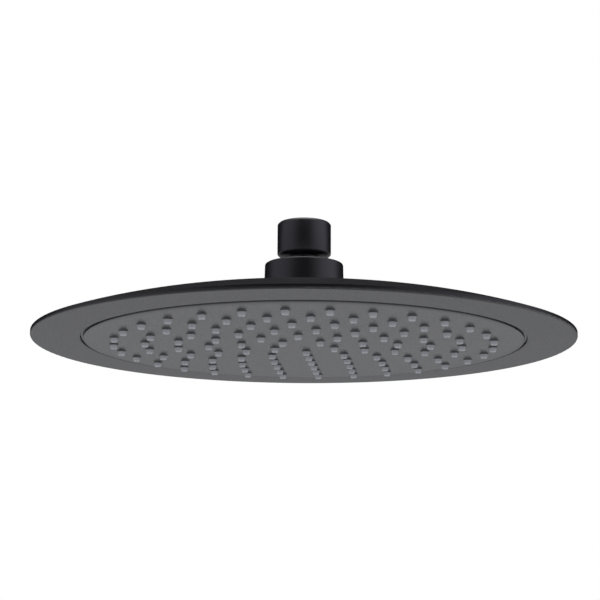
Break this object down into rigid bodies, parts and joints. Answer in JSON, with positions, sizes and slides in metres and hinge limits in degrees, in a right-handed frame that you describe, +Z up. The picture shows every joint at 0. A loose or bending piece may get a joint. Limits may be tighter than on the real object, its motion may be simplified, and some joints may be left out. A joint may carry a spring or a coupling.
{
  "type": "rain shower head",
  "caption": "Round rain shower head with a shallow dome, a flat nozzle face and a ball swivel nut that screws onto a shower arm.",
  "frame": {"origin": "on the axis of the inlet, where its thread wall starts under the lead-in of the mouth", "axes": "+Z up along the inlet, out of its mouth; the spray face looks down, and +X and +Y are the two tilt axes"},
  "size_m": [0.25, 0.25, 0.0605],
  "materials": {
    "coated_brass": "matte black coat",
    "collar_plastic": "matte black",
    "shell_plastic": "matte black",
    "face_plastic": "matte black",
    "core_plastic": "moulded grey",
    "white_plastic": "low-friction natural white",
    "seal_rubber": "soft black",
    "grey_silicone": "soft grey",
    "steel": "plain"
  },
  "bodies": {
    "nut": {"swivel_ball_nut": "coated_brass", "inlet_washer": "seal_rubber", "inlet_screen": "steel", "flow_restrictor": "white_plastic", "restrictor_ring": "grey_silicone"},
    "seat": {"ball_seat": "white_plastic", "ball_seal": "seal_rubber"},
    "slip": {"slip_ring": "white_plastic"},
    "head": {"locking_collar": "collar_plastic", "back_cover": "shell_plastic", "cover_washer": "seal_rubber", "seat_seal": "seal_rubber", "water_plate": "core_plastic", "chamber_seal": "seal_rubber", "spray_face": "face_plastic", "front_ring": "shell_plastic", "plate_screws": "steel"}
  },
  "joints": [
    {"name": "tilt_x", "type": "hinge", "parent": "nut", "child": "seat", "pos_m": [0, 0, -0.0279], "axis": [1, 0, 0], "range_deg": [-10, 10]},
    {"name": "tilt_y", "type": "hinge", "parent": "seat", "child": "slip", "pos_m": [0, 0, -0.0279], "axis": [0, 1, 0], "range_deg": [-10, 10]},
    {"name": "spin", "type": "hinge", "parent": "slip", "child": "head", "pos_m": [0, 0, -0.0279], "axis": [0, 0, 1], "continuous": true}
  ]
}
